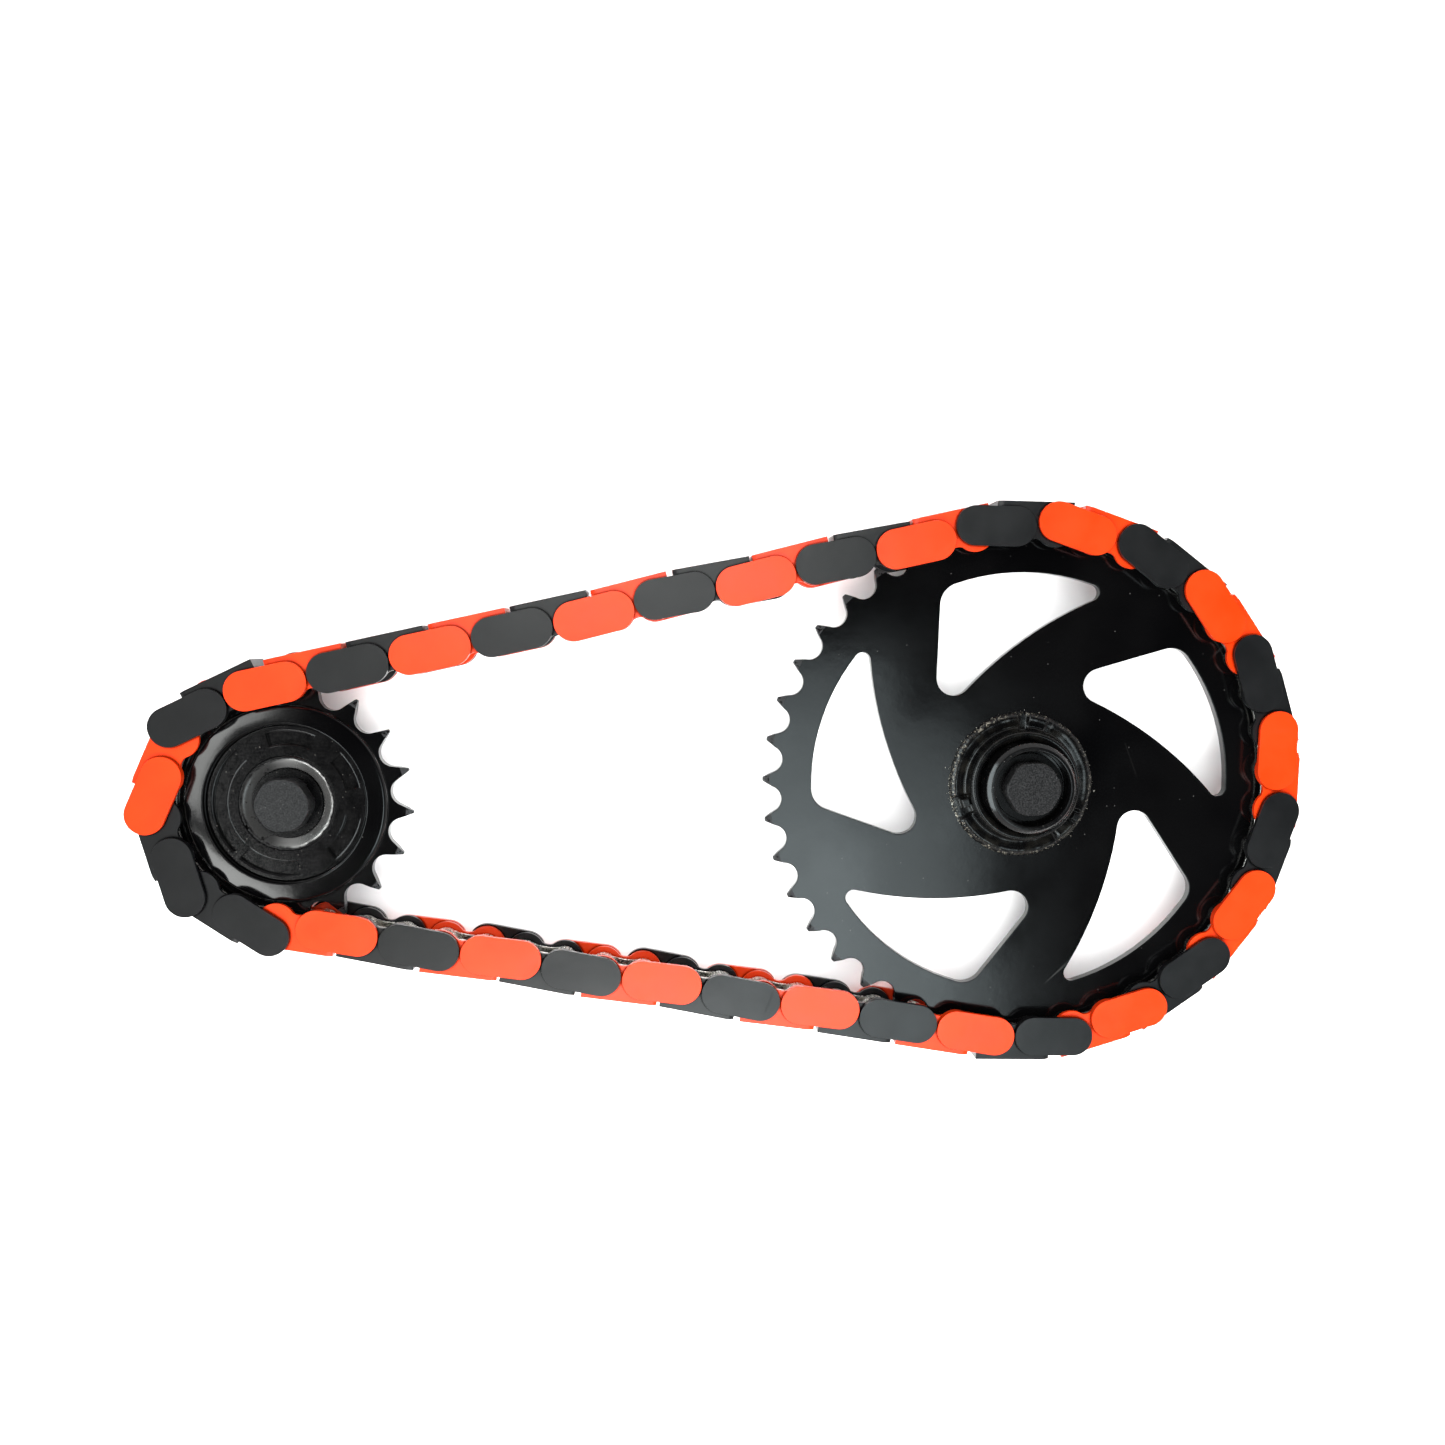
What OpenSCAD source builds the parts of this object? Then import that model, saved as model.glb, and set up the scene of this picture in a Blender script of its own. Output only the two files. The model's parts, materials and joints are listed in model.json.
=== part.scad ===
// Roller chain drive with a clip-on cover on every outer link.
// Lies flat: the chainring axis is Z, the small sprocket is towards -X, Z = 0 is the resting plane.

/* [Chain] */
// Pitch of the chain, from pin to pin
pitch = 12.7; // [12.7:0.1:12.7]
// Outside diameter of a roller
roller_d = 7.75; // [7.6:0.05:7.9]
// Gap between the two inner plates of a link
inner_width = 3.3; // [3.2:0.05:3.4]
// Thickness of each plate
plate_t = 1.0; // [0.8:0.05:1.0]
// Diameter of a rivet pin
pin_d = 3.6; // [3.4:0.05:3.7]
// Outside diameter of a bush
bush_d = 5.1; // [4.9:0.05:5.2]

/* [Wheels] */
// Teeth on the chainring
ring_teeth = 40; // [40:1:40]
// Teeth on the small sprocket
small_teeth = 18; // [18:1:18]
// Height of the chain's middle plane above the resting plane
mid_z = 14; // [14:0.5:18]
// Thickness of the teeth
tooth_t = 2.9; // [2.6:0.1:3.0]
// How far the chainring has turned past the symmetric position, in degrees
advance = 1.95; // [-2:0.05:2]

/* [Covers] */
// Gap between the two faces that hug the link
cover_gap = 9.2; // [9.0:0.1:9.4]
// Thickness of a face plate
face_t = 1.2; // [1.0:0.1:1.3]
// Thickness of the raised cap
cap_t = 1.25; // [1.0:0.05:1.4]
// Half width of the raised cap
cap_r = 6.15; // [6.0:0.05:6.25]
// Length of the straight bar along the outside of the loop
bar_l = 24; // [22:0.5:24.2]
// How far the covers of the straight runs have settled to either side, in degrees
settle = 2; // [0:0.5:2.5]

/* [Hubs] */
// Diameter of the two spindles
spindle_d = 14; // [12:1:14]
// Width across the flats of the centre bolts
bolt_af = 16; // [15:0.5:17]

/* [Hidden] */
run_links = 18;
ring_wrap = 22;
small_wrap = 8;
cover_count = 33;
fine = 96;
play = 0.12;

function cover_name(i) = str("cover_", i < 10 ? "0" : "", i);
places = ["ring", "upper", "small", "lower"];

orange = "#ff5f22";
charcoal = "#3a3c3d";
black = "#141517";
bright = "#c9ccd0";
dark_steel = "#5b5d60";
bronze = "#a9793c";

// ---- where every pin sits -------------------------------------------------

function on_circle(r, a) = r * [cos(a), sin(a)];
function unit(v) = v / norm(v);

ring_step = 360 / ring_teeth;
small_step = 360 / small_teeth;
ring_r = pitch / (2 * sin(ring_step / 2));
small_r = pitch / (2 * sin(small_step / 2));
ring_edge = ring_wrap * ring_step / 2;
small_edge = 180 - small_wrap * small_step / 2;
small_advance = advance * ring_teeth / small_teeth;

// The straight runs hold a whole number of pitches when the drive is symmetric.
run_rise = ring_r * sin(ring_edge) - small_r * sin(small_edge);
run_reach = sqrt(pow(run_links * pitch, 2) - pow(run_rise, 2));
centre_distance = run_reach - ring_r * cos(ring_edge) + small_r * cos(small_edge);
small_centre = [-centre_distance, 0];

function ring_pin(k) = on_circle(ring_r, ring_edge + advance - ring_step * k);
function small_pin(k) =
    small_centre + on_circle(small_r, 360 - small_edge + small_advance - small_step * k);
function along(from, to, k) = from + k * pitch * unit(to - from);
function upper_pin(k) = along(ring_pin(0), small_pin(small_wrap), k);
function lower_pin(k) = along(ring_pin(ring_wrap), small_pin(0), k);

// Pin k of a place, and the links between pin k and the next. Even links are inner ones.
function pin(place, k) =
    place == "ring" ? ring_pin(k)
    : place == "small" ? small_pin(k)
    : place == "upper" ? upper_pin(k)
    : lower_pin(k);
function link_total(place) =
    place == "ring" ? ring_wrap
    : place == "small" ? small_wrap
    : run_links;
// The upper run starts with an outer link, the other places with an inner one.
function first_outer(place) = place == "upper" ? 0 : 1;
function outer_links(place) = [first_outer(place):2:link_total(place) - 1];
function inner_links(place) = [1 - first_outer(place):2:link_total(place) - 1];

// Covers are numbered clockwise, seen from above, from the left end of the small sprocket.
// Each gives its place and the number of the outer link that it sits on.
function cover_seat(i) =
    i <= 2 ? ["small", 2 * i + 3]
    : i <= 11 ? ["upper", 2 * (11 - i)]
    : i <= 22 ? ["ring", 2 * (i - 12) + 1]
    : i <= 31 ? ["lower", 2 * (i - 23) + 1]
    : ["small", 2 * (i - 32) + 1];

// Covers in the middle of a straight run rock on their links, black and orange in opposite ways.
function rocks(i) = (i > 6 && i < 11) || (i > 24 && i < 31);
function lean(i) = rocks(i) ? (i % 2 == 0 ? -settle : settle) : 0;

// Puts its children on a link, with +X along the travel and -Y to the outside of the loop.
module on_link(place, k) {
    near = pin(place, k);
    far = pin(place, k + 1);
    ahead = place == "upper" ? far - near : near - far;
    middle = (near + far) / 2;
    translate([middle.x, middle.y, mid_z])
        rotate(atan2(ahead.y, ahead.x))
            children();
}

// ---- chain ----------------------------------------------------------------

plate_r = 4.25;
waist_half = 3.1;
waist_r = 15;
inner_z = inner_width / 2;
outer_z = inner_z + plate_t + 0.1;
pin_half = outer_z + plate_t + 0.55;
bush_bore_d = pin_d + 2 * play;

module both_pins() {
    for (side = [-1, 1])
        translate([side * pitch / 2, 0, 0])
            children();
}

// Outline of a link plate: two round ends with a long shallow waist between them.
module plate_outline(hole_d) {
    difference() {
        union() {
            both_pins() circle(plate_r, $fn = fine);
            difference() {
                square([9.9, 7.96], center = true);
                for (side = [-1, 1])
                    translate([0, side * (waist_half + waist_r)])
                        circle(waist_r, $fn = fine);
            }
        }
        both_pins() circle(d = hole_d, $fn = fine);
    }
}

module plate_pair(low_z, hole_d) {
    for (z = [low_z, -low_z - plate_t])
        translate([0, 0, z])
            linear_extrude(plate_t)
                plate_outline(hole_d);
}

module tube(outer_d, bore_d, half_l) {
    difference() {
        cylinder(h = 2 * half_l, d = outer_d, center = true, $fn = fine);
        cylinder(h = 2 * half_l + 2, d = bore_d, center = true, $fn = fine);
    }
}

module outer_plates(place) {
    color(dark_steel)
        for (k = outer_links(place))
            on_link(place, k)
                plate_pair(outer_z, pin_d + 0.04);
}

module inner_plates_and_bushes(place) {
    color(bright)
        for (k = inner_links(place))
            on_link(place, k) {
                plate_pair(inner_z, bush_d + 0.04);
                both_pins() tube(bush_d, bush_bore_d, inner_z + plate_t);
            }
}

module rollers(place) {
    color(bright)
        for (k = inner_links(place))
            on_link(place, k)
                both_pins() tube(roller_d, bush_d + 0.14, inner_z - 0.1);
}

module rivet_pin() {
    head = 0.4;
    cylinder(h = 2 * (pin_half - head), d = pin_d, center = true, $fn = fine);
    for (side = [0, 1])
        mirror([0, 0, side])
            translate([0, 0, pin_half - head])
                cylinder(h = head, d1 = pin_d, d2 = pin_d - 2 * head, $fn = fine);
}

module pins(place) {
    color(bright)
        for (k = outer_links(place))
            on_link(place, k)
                both_pins() rivet_pin();
}

// ---- covers ---------------------------------------------------------------

face_z = cover_gap / 2;
cap_lift = 0.15;
cap_z = face_z + face_t + cap_lift;
lobe_r = 6;
bar_outside = 8;
bar_inside = 4.9;
cover_waist = 3.4;
cover_waist_r = 3.6;
end_bevel_l = 2;
end_bevel_h = 0.9;

// Face plate: two lobes round the pins, a waist inside the loop and a straight bar outside it.
module face_outline() {
    both_pins() circle(lobe_r, $fn = fine);
    difference() {
        translate([-4, -1]) square([8, 5]);
        translate([0, cover_waist + cover_waist_r]) circle(cover_waist_r, $fn = fine);
    }
    translate([-bar_l / 2, -bar_outside]) square([bar_l, bar_outside]);
}

module cap() {
    translate([pitch / 2, 0, face_z + face_t - 0.1])
        cylinder(h = cap_lift + 0.2, r = lobe_r - 0.1, $fn = fine);
    translate([0, 0, cap_z])
        linear_extrude(cap_t) {
            for (x = [pitch / 2, 1.5 * pitch])
                translate([x, 0]) circle(cap_r, $fn = fine);
            translate([pitch / 2, -cap_r]) square([pitch, 2 * cap_r]);
        }
}

// Sloped end of the bar on the side that the cap points to.
module bar_end_bevel() {
    top = face_z + face_t;
    rotate([90, 0, 0])
        linear_extrude(bar_outside + 1)
            polygon([
                [bar_l / 2 - end_bevel_l, top + 0.01],
                [bar_l / 2 + 0.1, top - end_bevel_h],
                [bar_l / 2 + 0.1, top + 0.01]
            ]);
}

module cover_side() {
    difference() {
        translate([0, 0, face_z])
            linear_extrude(face_t)
                face_outline();
        intersection() {
            bar_end_bevel();
            translate([0, -bar_outside - 1, 0]) cube([bar_l, 4, 10]);
        }
    }
    cap();
}

// The far side is the near side turned half a turn about Y, so its cap points the other way.
module cover(i) {
    seat = cover_seat(i);
    colour = i == cover_count || i % 2 == 0 ? charcoal : orange;
    color(colour)
        on_link(seat[0], seat[1])
            rotate(lean(i)) {
                cover_side();
                rotate([0, 180, 0]) cover_side();
                translate([-bar_l / 2, -bar_outside, -face_z - 0.1])
                    cube([bar_l, bar_outside - bar_inside, 2 * face_z + 0.2]);
            }
}

// ---- toothed wheels -------------------------------------------------------

ring_tip_r = 82.6;
small_tip_r = 38.9;
// Rounded gap between two teeth: radius, where the flanks leave it, and how fast they flare.
ring_gap = [roller_d / 2 + 0.33, -1.7, 0.65];
small_gap = [roller_d / 2 + 0.53, -2.4, 0.64];
tooth_bevel_l = 2.3;
tooth_bevel_h = 0.8;

// Round blank whose rim thins towards the tips of the teeth.
module blank(tip_r, bore_r) {
    half = tooth_t / 2;
    rotate_extrude($fn = 180)
        polygon([
            [bore_r, -half],
            [tip_r - tooth_bevel_l, -half],
            [tip_r, -half + tooth_bevel_h],
            [tip_r, half - tooth_bevel_h],
            [tip_r - tooth_bevel_l, half],
            [bore_r, half]
        ]);
}

// One gap between two teeth, round the pin line and flaring outwards.
module tooth_gap(gap) {
    foot_y = gap[1];
    foot_half = sqrt(pow(gap[0], 2) - pow(foot_y, 2)) - 0.03;
    top_y = 5;
    top_half = foot_half + gap[2] * (top_y - foot_y);
    linear_extrude(tooth_t + 2, center = true) {
        circle(gap[0], $fn = fine);
        polygon([
            [-foot_half, foot_y],
            [foot_half, foot_y],
            [top_half, top_y],
            [-top_half, top_y]
        ]);
    }
}

module tooth_gaps(teeth, r, first, gap) {
    for (k = [0:teeth - 1])
        rotate(first + k * 360 / teeth - 90)
            translate([0, r, 0])
                tooth_gap(gap);
}

// ---- chainring ------------------------------------------------------------

window_count = 5;
window_outer_r = 67.1;
window_first = 0;
// Corner circles of a window: blunt corner, foot near the hub, and sharp tip.
blunt_r = 7;
blunt_angle = 107.8;
foot_r = 5.5;
foot_c = [-21.2, 34.2];
tip_r = 2.6;
tip_angle = 69.2;
spoke_r = 118;

blunt_c = on_circle(window_outer_r - blunt_r, blunt_angle);
tip_c = on_circle(window_outer_r - tip_r, tip_angle);

function angle_of(v) = atan2(v.y, v.x);
function arc(c, r, a0, a1, n) = [for (i = [0:n]) c + on_circle(r, a0 + (a1 - a0) * i / n)];

// Point at distances ra and rb from a and b, on the right of the way from a to b.
function meet(a, ra, b, rb) =
    let (d = norm(b - a), e = unit(b - a))
    let (x = (d * d + ra * ra - rb * rb) / (2 * d), y = sqrt(ra * ra - x * x))
    a + x * e + y * [e.y, -e.x];

spoke_c = meet(foot_c, spoke_r + foot_r, tip_c, spoke_r + tip_r);
left_way = foot_c - blunt_c;
left_angle = angle_of(left_way) - 90 + asin((blunt_r - foot_r) / norm(left_way)) + 360;
foot_angle = angle_of(spoke_c - foot_c);
tip_turn = angle_of(spoke_c - tip_c);

window_outline = concat(
    arc([0, 0], window_outer_r, tip_angle, blunt_angle, 12),
    arc(blunt_c, blunt_r, blunt_angle + 6, left_angle, 11),
    arc(foot_c, foot_r, left_angle, foot_angle + 360, 16),
    arc(spoke_c, spoke_r, foot_angle + 180, tip_turn + 180, 12),
    arc(tip_c, tip_r, tip_turn + 12, tip_angle - 8, 12)
);

collar_r = 17.2;

module chainring() {
    color(black)
        translate([0, 0, mid_z])
            difference() {
                blank(ring_tip_r, collar_r + 0.1);
                tooth_gaps(ring_teeth, ring_r, ring_edge + advance, ring_gap);
                for (k = [0:window_count - 1])
                    rotate(window_first + k * 360 / window_count)
                        linear_extrude(tooth_t + 2, center = true)
                            polygon(window_outline);
            }
}

// Collar through the middle of the plate, with the weld bead that joins the two.
module hub_collar() {
    half = tooth_t / 2;
    top = 7.75;
    color(black)
        translate([0, 0, mid_z])
            rotate_extrude($fn = fine)
                polygon([
                    [14.4, -6],
                    [collar_r - 0.6, -6],
                    [collar_r, -5.4],
                    [collar_r, half + 0.05],
                    [22.9, half + 0.05],
                    [22.4, half + 1.0],
                    [20.8, half + 1.6],
                    [19.2, half + 1.7],
                    [collar_r + 0.7, half + 2.3],
                    [collar_r, half + 3.4],
                    [collar_r, top - 0.5],
                    [collar_r - 0.5, top],
                    [collar_r - 1.2, top],
                    [14.4, top - 1.2]
                ]);
}

sleeve_r = 14.2;
bearing_r = 9.05;
well_r = 11.7;
sleeve_foot = 3.4;
crank_floor = mid_z + 8.5;
small_floor = mid_z - 1;

module hub_sleeve() {
    top = mid_z + 14.25;
    color(black)
        rotate_extrude($fn = fine)
            polygon([
                [bearing_r, sleeve_foot],
                [sleeve_r - 0.6, sleeve_foot],
                [sleeve_r, sleeve_foot + 0.6],
                [sleeve_r, top - 1.1],
                [sleeve_r - 1.3, top],
                [well_r + 0.3, top],
                [well_r, top - 0.3],
                [well_r, crank_floor],
                [bearing_r, crank_floor]
            ]);
}

// ---- small sprocket -------------------------------------------------------

shoulder_in = 24.9;
shoulder_out = 31.3;
shoulder_h = 1.6;
carrier_r = 24.6;
carrier_top = 1.0;
cap_ring_r = 14.9;
pocket_in = 18.4;
pocket_out = 22.6;
pocket_d = 1.2;
// Start and end angle of each shallow pocket in the carrier.
pockets = [[10.6, 42.6], [65.6, 104.6], [129.6, 221.6], [227.6, 279.6], [307.6, 346.6]];

// Slightly domed ring with a round outer edge that stands on the tooth plate.
module shoulder() {
    edge_r = 1.7;
    crown_r = 51;
    join = 7;
    steps = 8;
    foot = tooth_t / 2 - 0.1;
    edge_c = [shoulder_out - edge_r, tooth_t / 2 + shoulder_h - edge_r - 0.36];
    foot_angle = asin((foot - edge_c.y) / edge_r);
    crown_c = edge_c + on_circle(edge_r - crown_r, 90 - join);
    inner = 90 - asin((shoulder_in + 0.3 - crown_c.x) / crown_r);
    rotate_extrude($fn = 180)
        polygon(concat(
            [[shoulder_in, foot]],
            arc(edge_c, edge_r, foot_angle, 90 - join, steps),
            arc(crown_c, crown_r, 90 - join + 1, inner, steps),
            [[shoulder_in, tooth_t / 2 + shoulder_h - 0.4]]
        ));
}

module small_sprocket() {
    color(black)
        translate([small_centre.x, 0, mid_z]) {
            difference() {
                blank(small_tip_r, carrier_r + 0.05);
                tooth_gaps(small_teeth, small_r, small_edge + small_advance, small_gap);
            }
            shoulder();
            mirror([0, 0, 1]) shoulder();
        }
}

module sprocket_carrier() {
    low = -3;
    color(black)
        translate([small_centre.x, 0, 0])
            difference() {
                rotate_extrude($fn = fine)
                    polygon([
                        [bearing_r, sleeve_foot],
                        [sleeve_r - 0.6, sleeve_foot],
                        [sleeve_r, sleeve_foot + 0.6],
                        [sleeve_r, mid_z + low - 1],
                        [sleeve_r + 1, mid_z + low],
                        [carrier_r - 0.4, mid_z + low],
                        [carrier_r, mid_z + low + 0.4],
                        [carrier_r, mid_z + carrier_top - 0.4],
                        [carrier_r - 0.4, mid_z + carrier_top],
                        [cap_ring_r + 0.05, mid_z + carrier_top],
                        [cap_ring_r + 0.05, small_floor],
                        [bearing_r, small_floor]
                    ]);
                for (span = pockets)
                    rotate(span[0])
                        rotate_extrude(angle = span[1] - span[0], $fn = fine)
                            translate([0, mid_z + carrier_top])
                                polygon([
                                    [pocket_in, -pocket_d],
                                    [pocket_out, -pocket_d],
                                    [pocket_out, -0.3],
                                    [pocket_out + 0.6, 0.05],
                                    [pocket_in - 0.6, 0.05],
                                    [pocket_in, -0.3]
                                ]);
            }
}

// Loose ring round the washer, dished on top, with one small notch in its rim.
module carrier_cap() {
    notch_angle = -150.4;
    dish_r = washer_r + 0.3;
    low = small_floor + 0.02;
    top = mid_z + carrier_top + 0.1;
    color(black)
        translate([small_centre.x, 0, 0])
            difference() {
                rotate_extrude($fn = fine)
                    polygon([
                        [dish_r, low],
                        [cap_ring_r, low],
                        [cap_ring_r, top - 0.3],
                        [cap_ring_r - 0.3, top],
                        [cap_ring_r - 0.7, top],
                        [cap_ring_r - 1.6, top - 0.25],
                        [dish_r + 1, top - 0.9],
                        [dish_r, top - 1.4]
                    ]);
                rotate(notch_angle)
                    translate([cap_ring_r - 1, -0.7, top - 1])
                        cube([3, 1.4, 3]);
            }
}

// ---- spindles, bushes, washers and bolts ----------------------------------

foot_t = 3;
washer_t = 1.5;
washer_r = 10.8;
bolt_d = 10;
bolt_play = 0.05;
mount_d = 5;
mount_depth = 5.5;
crank_foot_r = 16;
small_foot_r = 14;
head_h = 5.4;

// Top face of each spindle, just above the floor of the well that the washer covers.
crank_top = crank_floor + 0.1;
small_top = small_floor + 0.1;

module spindle(top, flange_r) {
    difference() {
        union() {
            rotate_extrude($fn = fine)
                polygon([
                    [0, 0],
                    [flange_r - 0.5, 0],
                    [flange_r, 0.5],
                    [flange_r, foot_t - 0.5],
                    [flange_r - 0.5, foot_t],
                    [0, foot_t]
                ]);
            cylinder(h = top, d = spindle_d, $fn = fine);
        }
        translate([0, 0, -1])
            cylinder(h = mount_depth + 1, d = mount_d, $fn = fine);
        translate([0, 0, mount_depth + 1])
            cylinder(h = top, d = bolt_d, $fn = fine);
    }
}

module crank_spindle() {
    color(bright) spindle(crank_top, crank_foot_r);
}

module sprocket_spindle() {
    color(bright) translate([small_centre.x, 0, 0]) spindle(small_top, small_foot_r);
}

// Repeats its children at both wheels, each at the top of its spindle.
module at_both_wheels() {
    translate([0, 0, crank_top]) children();
    translate([small_centre.x, 0, small_top]) children();
}

module plain_bush(top) {
    low = sleeve_foot + 0.2;
    translate([0, 0, (low + top) / 2])
        tube(2 * bearing_r - 0.1, spindle_d + 0.1, (top - low) / 2);
}

module plain_bushes() {
    color(bronze) {
        plain_bush(crank_floor - 0.1);
        translate([small_centre.x, 0, 0]) plain_bush(small_floor - 0.1);
    }
}

module washers() {
    color(black)
        at_both_wheels()
            translate([0, 0, washer_t / 2])
                tube(2 * washer_r, bolt_d + 0.4, washer_t / 2);
}

// Worn hexagon bolt: the corners are rounded off and the top face has a fine chamfer.
module hex_bolt(shank_l) {
    corner_r = bolt_af / 2 / cos(30);
    worn_r = bolt_af / 2 + 0.55;
    translate([0, 0, washer_t])
        intersection() {
            cylinder(h = head_h, r = corner_r, $fn = 6);
            rotate_extrude($fn = fine)
                polygon([
                    [0, 0],
                    [worn_r, 0],
                    [worn_r, head_h - 0.7],
                    [worn_r - 0.5, head_h],
                    [0, head_h]
                ]);
        }
    translate([0, 0, washer_t - shank_l])
        cylinder(h = shank_l + 0.5, d = bolt_d - 2 * bolt_play, $fn = fine);
}

module hex_bolts() {
    color(black) {
        translate([0, 0, crank_top]) hex_bolt(crank_top + washer_t - mount_depth - 2);
        translate([small_centre.x, 0, small_top]) hex_bolt(small_top + washer_t - mount_depth - 2);
    }
}

// ---- nodes ----------------------------------------------------------------

crank_spindle();
sprocket_spindle();
hex_bolts();
washers();
plain_bushes();
chainring();
hub_collar();
hub_sleeve();
small_sprocket();
sprocket_carrier();
carrier_cap();
for (p = places) {
    outer_plates(p);
    inner_plates_and_bushes(p);
    rollers(p);
    pins(p);
}
for (i = [1:cover_count])
    cover(i);
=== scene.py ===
"""Roller chain drive with link covers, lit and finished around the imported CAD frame."""

import json
import math
import random

import bmesh
import bpy
from mathutils import Euler, Matrix, Vector, noise


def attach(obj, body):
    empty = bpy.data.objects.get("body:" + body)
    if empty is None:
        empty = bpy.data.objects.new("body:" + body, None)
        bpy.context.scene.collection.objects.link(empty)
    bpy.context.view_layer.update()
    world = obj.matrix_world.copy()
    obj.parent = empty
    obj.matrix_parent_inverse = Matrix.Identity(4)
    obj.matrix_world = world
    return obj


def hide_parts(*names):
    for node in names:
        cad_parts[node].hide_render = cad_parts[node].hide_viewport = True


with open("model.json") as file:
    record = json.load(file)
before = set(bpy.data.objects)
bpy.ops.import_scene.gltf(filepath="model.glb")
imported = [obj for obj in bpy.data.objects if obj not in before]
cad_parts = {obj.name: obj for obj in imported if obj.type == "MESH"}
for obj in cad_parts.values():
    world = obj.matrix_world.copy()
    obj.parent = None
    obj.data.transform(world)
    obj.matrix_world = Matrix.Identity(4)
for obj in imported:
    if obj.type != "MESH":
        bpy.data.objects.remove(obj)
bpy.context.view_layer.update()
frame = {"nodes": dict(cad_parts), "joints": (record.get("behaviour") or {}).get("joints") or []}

MM = 0.001
NODES = frame["nodes"]
JOINTS = {joint["name"]: joint for joint in frame["joints"]}
RING_AXIS = Vector(JOINTS["chainring_turn"]["pos_m"])
SMALL_AXIS = Vector(JOINTS["small_sprocket_turn"]["pos_m"])


# ---- shader helpers ---------------------------------------------------------


class Shader:
    """A node material under construction: one Principled shader and short ways to feed it."""

    def __init__(self, name, rough, ior=1.5, metallic=0.0):
        self.material = bpy.data.materials.new(name)
        self.material.use_nodes = True
        self.tree = self.material.node_tree
        self.shader = self.tree.nodes["Principled BSDF"]
        self.shader.inputs["Metallic"].default_value = metallic
        self.shader.inputs["Roughness"].default_value = rough
        self.shader.inputs["IOR"].default_value = ior
        self.place = self.node("ShaderNodeTexCoord").outputs["Object"]
        self.heights = []

    def node(self, kind, **settings):
        made = self.tree.nodes.new(kind)
        for key, value in settings.items():
            setattr(made, key, value)
        return made

    def feed(self, socket, value):
        """Links the socket to another node's output, or sets its value."""
        if isinstance(value, bpy.types.NodeSocket):
            self.tree.links.new(value, socket)
        else:
            socket.default_value = value

    def math(self, operation, *values):
        made = self.node("ShaderNodeMath", operation=operation)
        for socket, value in zip(made.inputs, values):
            self.feed(socket, value)
        return made.outputs[0]

    def vector(self, operation, a, b=None, scale=None):
        made = self.node("ShaderNodeVectorMath", operation=operation)
        self.feed(made.inputs[0], a)
        if b is not None:
            self.feed(made.inputs[1], b)
        if scale is not None:
            made.inputs["Scale"].default_value = scale
        return made.outputs["Value" if operation in ("LENGTH", "DOT_PRODUCT") else "Vector"]

    def noise(self, scale, detail=3.0, rough=0.5, stretch=None):
        """Noise between 0 and 1; stretch is a rotation and a scale that draw it out."""
        made = self.node("ShaderNodeTexNoise")
        source = self.place
        if stretch is not None:
            rotation, factors = stretch
            turn = self.node("ShaderNodeMapping", vector_type="TEXTURE")
            turn.inputs["Rotation"].default_value = rotation
            turn.inputs["Scale"].default_value = factors
            self.feed(turn.inputs["Vector"], source)
            source = turn.outputs[0]
        self.feed(made.inputs["Vector"], source)
        made.inputs["Scale"].default_value = scale
        made.inputs["Detail"].default_value = detail
        made.inputs["Roughness"].default_value = rough
        return made.outputs["Fac"]

    def specks(self, scale, size, few):
        """Small dots with ragged rims, 1 inside and 0 outside; few is the share of cells left empty."""
        made = self.node("ShaderNodeTexVoronoi", feature="F1")
        shift = self.vector("SCALE", self.cloud(scale * 2.5), scale=0.25 / scale)
        ragged = self.vector("ADD", self.place, shift)
        self.feed(made.inputs["Vector"], ragged)
        made.inputs["Scale"].default_value = scale
        lot = self.node("ShaderNodeSeparateColor")
        self.feed(lot.inputs[0], made.outputs["Color"])
        picked = self.band(lot.outputs[0], few, few + 0.02)
        near = self.band(made.outputs["Distance"], size, size * 0.5)
        return self.math("MULTIPLY", picked, near)

    def cloud(self, scale):
        """Three noises at once, as a vector."""
        made = self.node("ShaderNodeTexNoise")
        self.feed(made.inputs["Vector"], self.place)
        made.inputs["Scale"].default_value = scale
        return made.outputs["Color"]

    def crevice(self, reach):
        """1 on open surfaces, towards 0 in corners narrower than reach, in metres."""
        made = self.node("ShaderNodeAmbientOcclusion", samples=6)
        made.inputs["Distance"].default_value = reach
        return made.outputs["AO"]

    def band(self, value, low, high, to_low=0.0, to_high=1.0):
        """Value remapped with a smooth ramp from low to high."""
        made = self.node("ShaderNodeMapRange", interpolation_type="SMOOTHSTEP")
        self.feed(made.inputs["Value"], value)
        made.inputs["From Min"].default_value = low
        made.inputs["From Max"].default_value = high
        made.inputs["To Min"].default_value = to_low
        made.inputs["To Max"].default_value = to_high
        return made.outputs["Result"]

    def mix(self, factor, a, b):
        made = self.node("ShaderNodeMix", data_type="RGBA")
        self.feed(made.inputs["Factor"], factor)
        for socket, value in ((made.inputs[6], a), (made.inputs[7], b)):
            self.feed(socket, (*value, 1.0) if isinstance(value, tuple) else value)
        return made.outputs[2]

    def colour(self, value):
        self.feed(self.shader.inputs["Base Color"], value)

    def rough(self, value):
        self.feed(self.shader.inputs["Roughness"], value)

    def metal(self, value):
        self.feed(self.shader.inputs["Metallic"], value)

    def bump(self, height, depth):
        """Adds height, times depth in metres, to the surface relief."""
        self.heights.append(self.math("MULTIPLY", height, depth))

    def radius(self, axis):
        """Distance from a wheel's axis."""
        flat = self.vector("MULTIPLY", self.place, (1.0, 1.0, 0.0))
        return self.vector("LENGTH", self.vector("SUBTRACT", flat, (axis.x, axis.y, 0.0)))

    def along_x(self):
        """Position along X, in metres."""
        split = self.node("ShaderNodeSeparateXYZ")
        self.feed(split.inputs[0], self.place)
        return split.outputs["X"]

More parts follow.
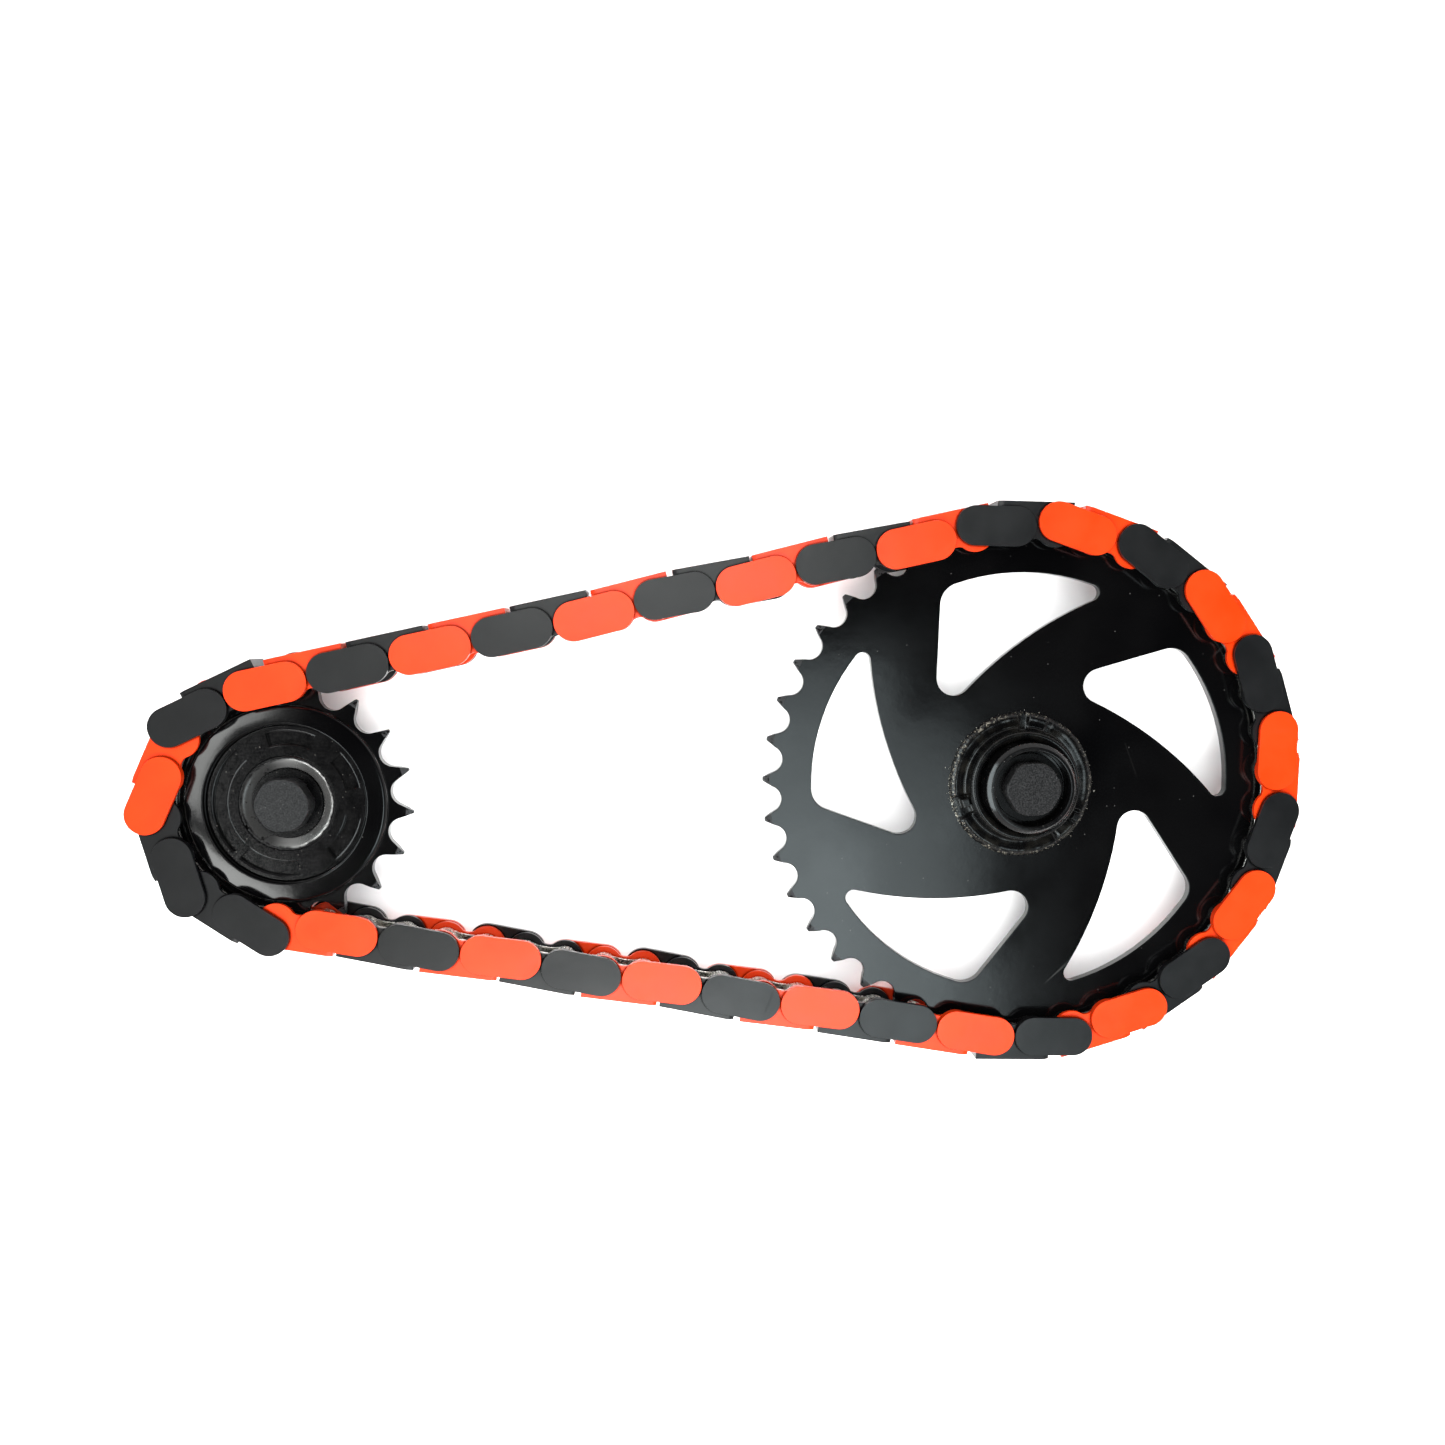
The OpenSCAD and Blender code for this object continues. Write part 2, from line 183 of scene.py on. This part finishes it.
    def done(self):
        if self.heights:
            total = self.heights[0]
            for height in self.heights[1:]:
                total = self.math("ADD", total, height)
            relief = self.node("ShaderNodeBump")
            relief.inputs["Strength"].default_value = 1.0
            relief.inputs["Distance"].default_value = 1.0
            self.feed(relief.inputs["Height"], total)
            self.feed(self.shader.inputs["Normal"], relief.outputs[0])
        return self.material


def scratches(shader, tilt):
    """Sparse hairlines in four directions, all turned by tilt; 1 on a scratch and 0 off it."""
    lines = None
    for turn in (0.35, 1.2, 2.3, 2.75):
        fine = shader.noise(420.0, 1.0, stretch=((0.0, 0.0, turn + tilt), (1.0, 26.0, 1.0)))
        line = shader.band(fine, 0.72, 0.77)
        lines = line if lines is None else shader.math("MAXIMUM", lines, line)
    patch = shader.band(shader.noise(60.0, 2.0), 0.50, 0.66)
    return shader.math("MULTIPLY", lines, patch)


# ---- materials --------------------------------------------------------------


def moulded_plastic(name, dark, base, pale, rough):
    """Injection-moulded plastic: fine grain, soft sink marks, painted shade in corners, handling marks."""
    s = Shader(name, rough, ior=1.58)
    cloudy = s.noise(85.0, 3.0)
    grain = s.noise(2600.0, 2.0)
    tone = s.mix(s.band(cloudy, 0.3, 0.7), dark, base)
    rubbed = s.band(s.noise(240.0, 4.0, 0.65), 0.60, 0.78)
    unshaded = s.mix(s.math("MULTIPLY", rubbed, 0.35), tone, pale)
    # Painted shade: colour and gloss darkened where the surface is hemmed in within 1.1 mm, as at the foot
    # of each cap.
    corner = s.band(s.crevice(0.0011), 0.55, 0.88)
    shade = tuple(part * 0.30 for part in dark)
    s.colour(s.mix(corner, shade, unshaded))
    s.feed(s.shader.inputs["Specular IOR Level"], s.math("MULTIPLY", corner, 0.5))
    marks = scratches(s, 0.4)
    wear = s.math("MULTIPLY", marks, 0.06)
    s.rough(s.math("ADD", s.band(cloudy, 0.25, 0.75, rough - 0.03, rough + 0.04), wear))
    s.bump(cloudy, 0.00014)
    s.bump(grain, 0.0000040)
    s.bump(marks, -0.000004)
    return s.done()


def gloss_paint(name, axis, rough, worn_from, worn_to):
    """Glossy black paint over steel: orange peel, hairlines, dust and worn tooth tips."""
    s = Shader(name, rough, ior=1.5)
    peel = s.noise(260.0, 2.0)
    marks = scratches(s, 0.0)
    dust = s.specks(420.0, 0.10, 0.86)
    radius = s.radius(axis)
    normal = s.node("ShaderNodeNewGeometry").outputs["True Normal"]
    level = s.math("ABSOLUTE", s.vector("DOT_PRODUCT", normal, (0.0, 0.0, 1.0)))
    tilted = s.band(level, 0.995, 0.97)
    patchy = s.band(s.noise(900.0, 3.0, 0.6), 0.36, 0.50)
    tips = s.math("MULTIPLY", s.band(radius, worn_from, worn_to), tilted)
    worn = s.math("MULTIPLY", tips, patchy)
    paint = s.mix(s.band(s.noise(30.0, 2.0), 0.3, 0.7), (0.0005, 0.0005, 0.0006), (0.0012, 0.0012, 0.0013))
    dusty = s.math("MAXIMUM", s.math("MULTIPLY", dust, 0.30), s.math("MULTIPLY", marks, 0.10))
    painted = s.mix(dusty, paint, (0.10, 0.10, 0.095))
    s.colour(s.mix(worn, painted, (0.034, 0.034, 0.035)))
    s.metal(s.math("MULTIPLY", worn, 0.6))
    base = s.band(s.noise(55.0, 3.0), 0.3, 0.7, rough - 0.02, rough + 0.03)
    rubbed = s.math("ADD", base, s.math("MULTIPLY", marks, 0.10))
    s.rough(s.math("ADD", rubbed, s.math("MULTIPLY", worn, 0.25)))
    s.bump(peel, 0.000012)
    s.bump(marks, -0.0000020)
    s.bump(patchy, -0.0000015)
    return s.done()


def hub_paint(name, rough, ior=1.5):
    """Glossy black paint on turned steel, with a little pitting and a few rubbed specks."""
    s = Shader(name, rough, ior=ior)
    pits = s.noise(1400.0, 4.0, 0.6)
    lumps = s.noise(300.0, 3.0)
    specks = s.specks(900.0, 0.16, 0.78)
    paint = s.mix(s.band(lumps, 0.3, 0.7), (0.0008, 0.0008, 0.0009), (0.0026, 0.0026, 0.0027))
    s.colour(s.mix(s.math("MULTIPLY", specks, 0.5), paint, (0.11, 0.105, 0.095)))
    s.rough(s.band(pits, 0.3, 0.7, rough - 0.03, rough + 0.06))
    s.bump(pits, 0.000002)
    s.bump(lumps, 0.000006)
    return s.done()


def dished_steel(name, axis, bare_to):
    """Cap ring: black paint, with bare steel in the dish round the washer on its +X side only."""
    s = Shader(name, 0.2, ior=1.5)
    radius = s.radius(axis)
    pits = s.noise(1400.0, 4.0, 0.6)
    blotch = s.noise(420.0, 3.0, 0.6)
    edge = s.math("ADD", radius, s.band(blotch, 0.3, 0.7, -0.0003, 0.0003))
    # Bare steel only towards +X; towards -X the dish keeps its black paint.
    side = s.band(s.along_x(), axis.x - 0.006, axis.x + 0.007, 0.06, 1.0)
    bare = s.math("MULTIPLY", s.band(edge, bare_to, bare_to - 0.0008), s.band(blotch, 0.26, 0.40))
    bare = s.math("MULTIPLY", bare, side)
    s.colour(s.mix(bare, (0.0012, 0.0012, 0.0013), (0.26, 0.26, 0.255)))
    s.metal(s.math("MULTIPLY", bare, 0.9))
    s.rough(s.band(pits, 0.3, 0.7, 0.16, 0.27))
    s.bump(pits, 0.000006)
    s.bump(blotch, 0.000010)
    return s.done()


def weld_metal():
    """Painted weld bead: smooth glossy ridges, with bare sparkle only at its outer edge."""
    s = Shader("weld_bead_black", 0.2, ior=1.5)
    ripple = s.noise(420.0, 2.0)
    grit = s.noise(1500.0, 4.0, 0.65)
    outer = s.band(s.radius(RING_AXIS), 0.0214, 0.0224)
    left = s.band(s.along_x(), -0.004, -0.014)
    edge = s.math("MULTIPLY", outer, s.math("ADD", s.math("MULTIPLY", left, 0.7), 0.3))
    bare = s.math("MULTIPLY", s.band(s.noise(1100.0, 3.0, 0.7), 0.56, 0.62), edge)
    paint = s.mix(s.band(s.noise(240.0, 3.0), 0.45, 0.7), (0.0010, 0.0010, 0.0011), (0.0045, 0.0042, 0.0036))
    s.colour(s.mix(s.math("MULTIPLY", bare, 0.8), paint, (0.30, 0.28, 0.23)))
    s.metal(s.math("MULTIPLY", bare, 0.6))
    s.rough(s.band(grit, 0.3, 0.7, 0.17, 0.33))
    s.bump(ripple, 0.000040)
    s.bump(s.math("MULTIPLY", grit, outer), 0.00008)
    s.bump(grit, 0.000008)
    return s.done()


def spatter_metal():
    """Frozen drops of bare weld metal, dulled in patches."""
    s = Shader("weld_spatter_bare", 0.35, metallic=0.9)
    dull = s.band(s.noise(900.0, 3.0), 0.42, 0.60)
    s.colour(s.mix(dull, (0.62, 0.60, 0.53), (0.10, 0.095, 0.08)))
    s.rough(s.band(s.noise(2200.0, 3.0), 0.3, 0.7, 0.25, 0.5))
    s.bump(s.noise(3000.0, 2.0), 0.00002)
    return s.done()


def rough_black(name):
    """Forged bolt head with a grainy black oxide and painted glints."""
    s = Shader(name, 0.55, ior=1.38)
    grain = s.noise(2300.0, 4.0, 0.75)
    pits = s.noise(700.0, 3.0)
    tone = s.mix(s.band(grain, 0.42, 0.60), (0.0006, 0.0006, 0.0007), (0.015, 0.015, 0.0155))
    # Painted glints: sparse light grey specks set into the colour.
    painted_glint = s.specks(1300.0, 0.14, 0.90)
    s.colour(s.mix(painted_glint, tone, (0.11, 0.11, 0.11)))
    s.rough(s.band(pits, 0.3, 0.7, 0.46, 0.66))
    s.bump(grain, 0.00007)
    s.bump(pits, 0.00005)
    return s.done()


def steel(name, tint, dark, rough):
    """Bare chain steel with drawn marks, oil stains and small scratches."""
    s = Shader(name, rough, metallic=1.0)
    drawn = s.noise(1800.0, 2.0, stretch=((0.0, 0.0, 0.0), (1.0, 1.0, 20.0)))
    stain = s.band(s.noise(140.0, 4.0, 0.6), 0.40, 0.72)
    s.colour(s.mix(stain, tint, dark))
    marks = scratches(s, 0.8)
    worn = s.band(drawn, 0.3, 0.7, rough - 0.06, rough + 0.08)
    s.rough(s.math("ADD", worn, s.math("MULTIPLY", stain, 0.12)))
    s.bump(drawn, 0.000003)
    s.bump(marks, -0.000004)
    return s.done()


# Materials by node, by added piece, or by the CAD's material slot for nodes not named here.
MATERIALS = {
    "cover_orange": moulded_plastic(
        "moulded_orange", (0.42, 0.0200, 0.0004), (0.46, 0.0235, 0.0006), (0.50, 0.034, 0.002), 0.33
    ),
    "cover_black": moulded_plastic(
        "moulded_black", (0.0016, 0.0017, 0.0020), (0.0025, 0.0026, 0.0029), (0.0055, 0.0055, 0.0059), 0.35
    ),
    "chainring": gloss_paint("chainring_black", RING_AXIS, 0.13, 0.0795, 0.0805),
    "small_sprocket": gloss_paint("small_sprocket_black", SMALL_AXIS, 0.13, 0.0362, 0.0368),
    "carrier_cap": dished_steel("cap_ring_black", SMALL_AXIS, 0.0142),
    "hub_black": hub_paint("hub_black_paint", 0.14),
    "weld": weld_metal(),
    "spatter": spatter_metal(),
    "washers": hub_paint("washer_black", 0.24, 1.3),
    "bolt_black": rough_black("bolt_black_oxide"),
    "bright_steel": steel("chain_bright_steel", (0.80, 0.78, 0.74), (0.55, 0.52, 0.47), 0.20),
    "dark_steel": steel("chain_dark_steel", (0.68, 0.66, 0.62), (0.44, 0.42, 0.39), 0.26),
    "spindle_steel": steel("spindle_turned_steel", (0.56, 0.57, 0.58), (0.36, 0.36, 0.36), 0.28),
    "bush_bronze": steel("bush_bronze", (0.62, 0.40, 0.19), (0.38, 0.24, 0.11), 0.30),
}


# ---- CAD nodes: edges and finishes -------------------------------------------


def welded_smooth_group():
    """Node group that joins a mesh's doubled points and drops its stored normals for smooth ones."""
    group = bpy.data.node_groups.new("join_and_smooth", "GeometryNodeTree")
    group.interface.new_socket("Geometry", in_out="INPUT", socket_type="NodeSocketGeometry")
    group.interface.new_socket("Geometry", in_out="OUTPUT", socket_type="NodeSocketGeometry")
    start = group.nodes.new("NodeGroupInput")
    merge = group.nodes.new("GeometryNodeMergeByDistance")
    merge.inputs["Distance"].default_value = 2e-6
    strip = group.nodes.new("GeometryNodeRemoveAttribute")
    strip.inputs["Name"].default_value = "custom_normal"
    smooth = group.nodes.new("GeometryNodeSetShadeSmooth")
    end = group.nodes.new("NodeGroupOutput")
    chain = [start, merge, strip, smooth, end]
    for a, b in zip(chain, chain[1:]):
        group.links.new(a.outputs[0], b.inputs[0])
    return group


JOIN = welded_smooth_group()
# Turn across an edge, in degrees, below which it is dissolved and above which it is rounded.
FLAT = 0.4
SHARP = 32.0
# Width of the rounded edges, in mm, by the start of a node's name.
EDGES = {
    "cover_": 0.22,
    "chainring": 0.25,
    "small_sprocket": 0.25,
    "sprocket_carrier": 0.25,
    "carrier_cap": 0.22,
    "hub_": 0.22,
    "hex_bolts": 0.22,
    "washers": 0.22,
    "outer_plates": 0.12,
    "inner_links": 0.12,
    "rollers": 0.25,
}


def soften(obj, width):
    """Rounds the sharp edges of a CAD node by width, in mm."""
    obj.modifiers.new("join", "NODES").node_group = JOIN
    thin = obj.modifiers.new("dissolve", "DECIMATE")
    thin.decimate_type = "DISSOLVE"
    thin.angle_limit = math.radians(FLAT)
    edge = obj.modifiers.new("edge", "BEVEL")
    edge.width = width * MM
    edge.segments = 2
    edge.limit_method = "ANGLE"
    edge.angle_limit = math.radians(SHARP)
    edge.miter_outer = "MITER_ARC"
    normals = obj.modifiers.new("normals", "WEIGHTED_NORMAL")
    normals.mode = "FACE_AREA"
    normals.keep_sharp = False


def paint(obj, material):
    obj.data.materials.clear()
    obj.data.materials.append(MATERIALS[material])


def finish_nodes():
    for name, obj in NODES.items():
        slot = obj.data.materials[0].name.split(".")[0]
        paint(obj, name if name in MATERIALS else slot)
        for start, width in EDGES.items():
            if name.startswith(start):
                soften(obj, width)


finish_nodes()


# ---- hub collar with its weld bead --------------------------------------------

# Height of the chain's middle plane, and of the chainring's face and the bead's seat above it.
MID_Z = 14.0
FACE_RISE = 1.45
SEAT = 1.4
# Section of the collar, as radius and height above the middle plane: foot, weld bead and rim.
COLLAR = [(14.4, -6.0), (16.6, -6.0), (17.2, -5.4), (17.2, 1.3), (22.6, 1.3)]
BEAD = [
    (23.1, 1.4), (22.9, 2.0), (22.3, 2.8), (21.4, 3.35), (20.4, 3.25), (19.4, 2.7),
    (18.7, 2.4), (18.1, 2.55), (17.6, 3.3), (17.2, 4.8),
]
RIM = [(17.2, 7.25), (16.7, 7.75), (16.0, 7.75), (14.4, 6.55)]
# Places where the bead stops: from, to (degrees) and how much of its height is missing.
BEAD_GAPS = [(84, 92, 0.85), (62, 67, 0.35), (-171, -151, 0.80), (-39, -26, 0.62), (-58, -54, 0.35)]
# Raised pads left on it: from, to (degrees), middle radius, half width and height.
PADS = [(-168, -159, 18.9, 1.5, 2.9), (-36, -29, 20.4, 1.6, 2.7)]


def smooth_line(points, steps):
    """Catmull-Rom line through points."""
    padded = [points[0], *points, points[-1]]
    line = []
    for i in range(1, len(padded) - 2):
        p0, p1, p2, p3 = (Vector(p) for p in padded[i - 1 : i + 3])
        for k in range(steps):
            t = k / steps
            line.append(
                0.5 * (2 * p1 + (p2 - p0) * t + (2 * p0 - 5 * p1 + 4 * p2 - p3) * t * t
                       + (3 * p1 - p0 - 3 * p2 + p3) * t ** 3)
            )
    line.append(Vector(points[-1]))
    return line


def ease(x, low, high):
    t = min(1.0, max(0.0, (x - low) / (high - low)))
    return t * t * (3 - 2 * t)


def bead_share(degrees):
    share = 1.0
    for low, high, missing in BEAD_GAPS:
        inside = ease(degrees, low - 1.5, low + 1.5) * (1 - ease(degrees, high - 1.5, high + 1.5))
        share -= missing * inside
    return share


def pad_height(r, degrees):
    height = 0.0
    for low, high, middle, half, top in PADS:
        along = ease(degrees, low - 0.7, low + 0.7) * (1 - ease(degrees, high - 0.7, high + 0.7))
        height = max(height, top * along * (1 - ease(abs(r - middle), half - 0.5, half)))
    return height


def bead_point(r, z, degrees):
    """The bead's cross-section point, with ripples, wobble, gaps and pads."""
    turn = math.radians(degrees)
    spot = Vector((math.cos(turn), math.sin(turn), 0.0))
    share = bead_share(degrees)
    # On the right the bead is only half as high.
    flat = ease(degrees, -30.0, -15.0) * (1 - ease(degrees, 48.0, 66.0))
    rise = (z - SEAT) * share * (1 - 0.5 * flat * ease(r, 17.6, 18.6))
    edge = ease(r, 21.5, 23.0)
    crown = ease(r, 17.2, 17.8)
    wobble = 0.40 * noise.noise(spot * 7.0) + 0.16 * noise.noise(spot * 26.0)
    ripple = math.sin(turn * 44 + 6.0 * noise.noise(spot * 5.0)) * 0.012
    lump = 0.30 * noise.noise(spot * 4.5 + Vector((0.0, 0.0, 0.10 * r)))
    grit = 0.16 * noise.noise(Vector((spot.x * r, spot.y * r, 9.0)) * 1.6) * (edge + 0.8 * (1 - share))
    rise += crown * (ripple + lump + grit) * min(1.0, rise / 1.2)
    rise = max(rise, pad_height(r, degrees), 0.0 if r > 22.5 else 0.12)
    return r + edge * wobble, SEAT + rise


def collar_mesh(name, steps=720):
    bead = smooth_line(BEAD, 4)
    section = [(r, z, False) for r, z in COLLAR] + [(p.x, p.y, True) for p in bead]
    section += [(r, z, False) for r, z in RIM]
    mesh = bmesh.new()
    rings = []
    for k in range(steps):
        degrees = 360.0 * k / steps
        signed = degrees - 360.0 if degrees > 180.0 else degrees
        turn = math.radians(degrees)
        ring = []
        for r, z, is_bead in section:
            if is_bead:
                r, z = bead_point(r, z, signed)
            spot = (r * math.cos(turn) * MM, r * math.sin(turn) * MM, (MID_Z + z) * MM)
            ring.append(mesh.verts.new(spot))
        rings.append(ring)
    count = len(section)
    for a, b in zip(rings, rings[1:] + rings[:1]):
        for i in range(count):
            j = (i + 1) % count
            mesh.faces.new((a[i], b[i], b[j], a[j]))
    bmesh.ops.recalc_face_normals(mesh, faces=mesh.faces)
    for face in mesh.faces:
        face.smooth = True
    data = bpy.data.meshes.new(name)
    mesh.to_mesh(data)
    mesh.free()
    return data


def add_piece(name, data, material, body):
    obj = bpy.data.objects.new(name, data)
    data.materials.append(MATERIALS[material])
    bpy.context.scene.collection.objects.link(obj)
    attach(obj, body)
    return obj


def spatter_mesh(name, count):
    """Small frozen drops round the bead, thickest on the side towards the sprocket."""
    rng = random.Random(11)
    mesh = bmesh.new()
    for _ in range(count):
        left = rng.random() < 0.8
        degrees = rng.gauss(188.0, 26.0) if left else rng.uniform(0.0, 360.0)
        r = 22.5 + abs(rng.gauss(0.0, 0.35 if left else 0.9))
        size = 0.06 + 0.20 * rng.random() ** 3
        turn = math.radians(degrees)
        spot = Vector((r * math.cos(turn), r * math.sin(turn), MID_Z + FACE_RISE)) * MM
        squash = Vector((rng.uniform(0.8, 1.6), rng.uniform(0.8, 1.6), 0.9)) * size * MM
        shape = Matrix.LocRotScale(spot, Euler((0.0, 0.0, turn)), squash)
        bmesh.ops.create_icosphere(mesh, subdivisions=2, radius=1.0, matrix=shape)
    for face in mesh.faces:
        face.smooth = True
    data = bpy.data.meshes.new(name)
    mesh.to_mesh(data)
    mesh.free()
    return data


bead_data = collar_mesh("hub_collar_weld")
collar = add_piece("hub_collar_weld", bead_data, "weld", "chainring_wheel")
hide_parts("hub_collar")
drops = spatter_mesh("weld_spatter", 240)
spatter = add_piece("weld_spatter", drops, "spatter", "chainring_wheel")


# ---- stage, lights and camera ------------------------------------------------


# The camera's place in metres, its line of sight, its upward direction and its lens in mm.
EYE = (-0.1103, 0.0481, 0.3600)
SIGHT = Vector((0.0448257, -0.0756173, -0.99612885))
UPWARD = Vector((0.02420618, 0.9969206, -0.07458812))
LENS = 27.427
COOL = (0.84, 0.97, 1.0)
NEUTRAL = (0.98, 1.0, 0.98)
WINDOW_Z = 1.015
# Windows overhead, seen only by gloss: left, right, low and high edges in metres, and radiance.
OVER_ALL = [
    (-0.05, 0.13, -0.64, -0.19, 4.4),
    (0.13, 0.24, -0.64, -0.31, 3.7),
    (0.13, 0.25, -0.31, -0.15, 2.6),
    (0.25, 0.30, -0.64, -0.36, 2.4),
    (0.25, 0.28, -0.36, -0.10, 1.0),
    (-0.05, 0.11, -0.19, -0.06, 3.3),
    (0.11, 0.25, -0.15, -0.06, 1.7),
    (-0.05, 0.16, -0.06, 0.02, 2.2),
]
OVER_COVERS = [
    (-0.48, -0.05, -0.70, -0.42, 8.2),
    (-0.45, 0.06, 0.09, 0.40, 4.6),
    (-0.85, -0.50, -0.40, 0.10, 0.8),
]
OVER_WHEELS = [
    (-1.02, -0.74, -0.16, 0.20, 6.2),
    (-0.74, -0.62, 0.08, 0.34, 4.8),
    (-0.98, -0.62, -0.56, -0.26, 8.4),
]


def panel(name, centre, size, radiance, colour, aim=(0.0, 0.0, -1.0), matt=False):
    """Soft rectangle of light, seen only by gloss or, if matt is set, only by matt surfaces."""
    data = bpy.data.lights.new(name, "AREA")
    data.shape = "RECTANGLE"
    data.size, data.size_y = size
    data.energy = radiance * math.pi * size[0] * size[1]
    data.color = colour
    obj = bpy.data.objects.new(name, data)
    obj.location = centre
    obj.rotation_euler = Vector(aim).to_track_quat("-Z", "Y").to_euler()
    obj.visible_diffuse = matt
    obj.visible_glossy = not matt
    data.cycles.use_multiple_importance_sampling = not matt
    bpy.context.scene.collection.objects.link(obj)
    return obj


def overhead(irradiance, spread, aim):
    """Even light from most of the ceiling, seen only by matt surfaces."""
    data = bpy.data.lights.new("overhead", "SUN")
    data.energy = irradiance
    data.angle = spread
    data.cycles.use_multiple_importance_sampling = False
    obj = bpy.data.objects.new("overhead", data)
    obj.rotation_euler = Vector(aim).to_track_quat("-Z", "Y").to_euler()
    obj.visible_glossy = False
    bpy.context.scene.collection.objects.link(obj)


def floor():
    """White paper, just below the object so that no two faces coincide."""
    mesh = bpy.data.meshes.new("floor")
    side = 4.0
    corners = [(-side, -side, 0), (side, -side, 0), (side, side, 0), (-side, side, 0)]
    mesh.from_pydata(corners, [], [(0, 1, 2, 3)])
    obj = bpy.data.objects.new("floor", mesh)
    obj.location.z = -0.00005
    s = Shader("floor_white", 0.55)
    s.colour(s.mix(s.noise(14.0, 2.0), (0.90, 0.90, 0.90), (0.925, 0.925, 0.925)))
    s.shader.inputs["Specular IOR Level"].default_value = 0.1
    mesh.materials.append(s.done())
    bpy.context.scene.collection.objects.link(obj)


def sky(zenith, horizon):
    """Dark ceiling with paler walls round it, so that gloss has something to mirror."""
    world = bpy.data.worlds.new("studio")
    world.use_nodes = True
    tree = world.node_tree
    split = tree.nodes.new("ShaderNodeSeparateXYZ")
    tree.links.new(tree.nodes.new("ShaderNodeTexCoord").outputs["Generated"], split.inputs[0])
    ramp = tree.nodes.new("ShaderNodeMapRange")
    ramp.interpolation_type = "SMOOTHSTEP"
    tree.links.new(split.outputs["Z"], ramp.inputs["Value"])
    ramp.inputs["From Min"].default_value = 0.80
    ramp.inputs["From Max"].default_value = 0.35
    ramp.inputs["To Min"].default_value = zenith
    ramp.inputs["To Max"].default_value = horizon
    tree.nodes["Background"].inputs["Color"].default_value = (1.0, 1.0, 1.0, 1.0)
    tree.links.new(ramp.outputs["Result"], tree.nodes["Background"].inputs["Strength"])
    bpy.context.scene.world = world


def camera():
    """Camera where the photo was taken from, almost straight above."""
    data = bpy.data.cameras.new("camera")
    data.sensor_width = 36.0
    data.lens = LENS
    data.clip_start = 0.01
    obj = bpy.data.objects.new("camera", data)
    right = SIGHT.cross(UPWARD).normalized()
    up = right.cross(SIGHT).normalized()
    turn = Matrix((right, up, -SIGHT)).transposed().to_4x4()
    obj.matrix_world = Matrix.Translation(EYE) @ turn
    bpy.context.scene.collection.objects.link(obj)
    bpy.context.scene.camera = obj


def group_of(name, pieces):
    """Collection outside the scene, to tell lights what they may reach."""
    group = bpy.data.collections.new(name)
    for piece in pieces:
        group.objects.link(piece)
    return group


def hang(windows, name, colour, group=None):
    """Hangs windows at WINDOW_Z; with a group, they light only its pieces."""
    for number, (left, right, low, high, radiance) in enumerate(windows):
        centre = ((left + right) / 2, (low + high) / 2, WINDOW_Z)
        light = panel(f"{name}_{number}", centre, (right - left, high - low), radiance, colour)
        light.light_linking.receiver_collection = group


floor()
camera()
sky(0.004, 0.85)
covers = group_of("covers", [obj for name, obj in NODES.items() if name.startswith("cover_")])
others = [obj for name, obj in NODES.items() if not name.startswith("cover_")]
wheels = group_of("wheels", [*others, collar, spatter])
hang(OVER_ALL, "window", COOL)
hang(OVER_COVERS, "cover_window", NEUTRAL, covers)
hang(OVER_WHEELS, "wheel_window", NEUTRAL, wheels)
left_low = panel("left_low", (-1.45, -0.05, 0.75), (2.6, 0.55), 5.0, COOL, aim=(1.0, 0.05, -0.45))
left_low.light_linking.receiver_collection = wheels
panel("low_fill", (-0.12, -0.42, 0.45), (0.7, 0.15), 26.0, NEUTRAL, aim=(0.0, 0.36, -0.45), matt=True)
overhead(8.0, 1.9, (0.05, -0.12, -1.0))
bpy.context.scene.view_settings.view_transform = "Standard"
